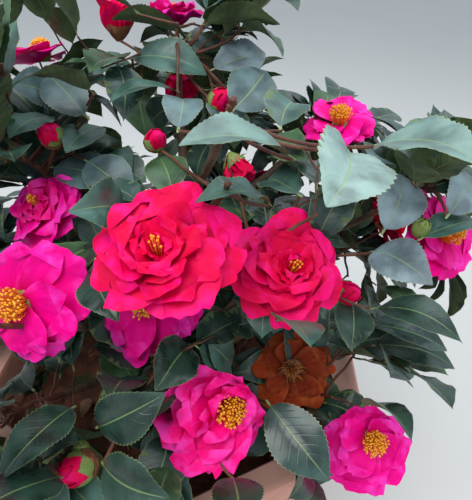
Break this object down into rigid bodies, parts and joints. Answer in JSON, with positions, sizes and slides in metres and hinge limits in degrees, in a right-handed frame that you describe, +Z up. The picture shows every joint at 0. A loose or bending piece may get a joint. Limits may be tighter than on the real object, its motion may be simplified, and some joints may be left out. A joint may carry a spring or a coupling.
{
  "type": "potted camellia shrub",
  "caption": "Evergreen garden shrub with glossy toothed leaves and ruffled deep pink blooms, growing in a tapered hexagonal patio pot with a wide flat rim.",
  "frame": {"origin": "centre of the pot's flat underside", "axes": "+Z up; the pot's flats face +X and -X, and -Y is the side that the picture is taken from"},
  "size_m": [0.5066, 0.508, 0.6552],
  "materials": {
    "pot": "satin",
    "soil": "matte",
    "bark": "matte",
    "foliage": "satin"
  },
  "bodies": {
    "root": {"pot": "pot", "soil": "soil", "trunk": "bark", "bough_crest_front": "bark", "bough_high_front": "bark", "bough_right_front": "bark", "bough_left_front": "bark", "bough_low_front": "bark", "bough_left_low": "bark", "bough_right_low": "bark", "bough_right_high": "bark", "bough_right_back_high": "bark", "bough_left_high": "bark", "bough_left_back_high": "bark", "bough_back_high": "bark", "bough_right_back_low": "bark", "bough_back_low": "bark", "bough_left_back_low": "bark", "bough_left_side_low": "bark", "foliage_crest_front": "foliage", "foliage_high_front": "foliage", "foliage_right_front": "foliage", "foliage_left_front": "foliage", "foliage_low_front": "foliage", "foliage_left_low": "foliage", "foliage_right_low": "foliage", "foliage_right_high": "foliage", "foliage_right_back_high": "foliage", "foliage_crest": "foliage", "foliage_left_high": "foliage", "foliage_left_back_high": "foliage", "foliage_back_high": "foliage", "foliage_right_back_low": "foliage", "foliage_back_low": "foliage", "foliage_left_back_low": "foliage", "foliage_left_side_low": "foliage"}
  },
  "joints": []
}
